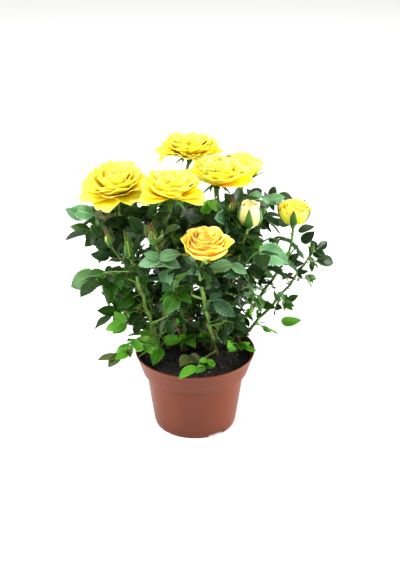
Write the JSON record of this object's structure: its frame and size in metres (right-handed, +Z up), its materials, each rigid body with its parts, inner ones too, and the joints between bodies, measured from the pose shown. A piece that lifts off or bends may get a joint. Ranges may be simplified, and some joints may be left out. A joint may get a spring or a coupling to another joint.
{
  "type": "potted rose bush",
  "caption": "Miniature rose bush with yellow blooms and dark green leaves in a terracotta-coloured plastic pot.",
  "frame": {"origin": "the middle of the pot's underside, on the surface it stands on", "axes": "+Z up along the pot's axis, the front of the bush towards -Y, its right towards +X"},
  "size_m": [0.2644, 0.2325, 0.2907],
  "materials": {
    "pot": "terracotta-coloured moulded plastic, satin",
    "compost": "damp dark compost",
    "cane": "smooth green bark with a few prickles",
    "bloom": "soft lemon-yellow petals with deeper folds",
    "leaf": "dark green leaves with a light gloss",
    "young_leaf": "fresh light green leaves"
  },
  "bodies": {
    "root": {"pot": "pot", "compost": "compost", "cane_front_left": "cane", "cane_front": "cane", "cane_right": "cane", "cane_far_right": "cane", "cane_inner_right": "cane", "cane_left": "cane", "cane_mid_left": "cane", "cane_top": "cane", "cane_mid_right": "cane", "cane_back_right": "cane", "cane_back": "cane", "cane_back_left": "cane", "cane_rear_right": "cane", "bloom_top": "bloom", "bloom_left": "bloom", "bloom_mid_left": "bloom", "bloom_mid_right": "bloom", "bloom_back_right": "bloom", "bloom_front": "bloom", "bloom_inner_right": "bloom", "bloom_right": "bloom", "bloom_back": "bloom", "shoot_left_upper": "leaf", "shoot_left_bud": "leaf", "shoot_left_front": "leaf", "shoot_front_left_bud": "leaf", "shoot_inner_bud": "leaf", "shoot_left_low": "leaf", "shoot_left_base": "young_leaf", "shoot_front_base": "young_leaf", "shoot_right_base": "young_leaf", "shoot_right_low": "young_leaf", "shoot_right_mid": "leaf", "shoot_right_tip": "leaf", "shoot_right_upper": "leaf", "shoot_top_right": "leaf", "shoot_inner_right": "leaf", "shoot_front_mid": "leaf", "shoot_front_low": "leaf", "shoot_inner_low": "leaf", "shoot_high_right": "leaf", "shoot_high_left": "leaf", "shoot_back_left_tip": "leaf", "shoot_back_left_low": "leaf", "shoot_back_low": "leaf", "shoot_rear_right_low": "leaf", "shoot_rear_right_tip": "leaf", "shoot_back_high": "leaf", "shoot_left_back": "leaf", "shoot_back_mid": "leaf", "shoot_right_back": "leaf", "shoot_heart": "leaf", "shoot_mid_left_low": "leaf", "shoot_middle_low": "leaf", "shoot_inner_right_low": "leaf", "shoot_back_right_low": "leaf"}
  },
  "joints": []
}
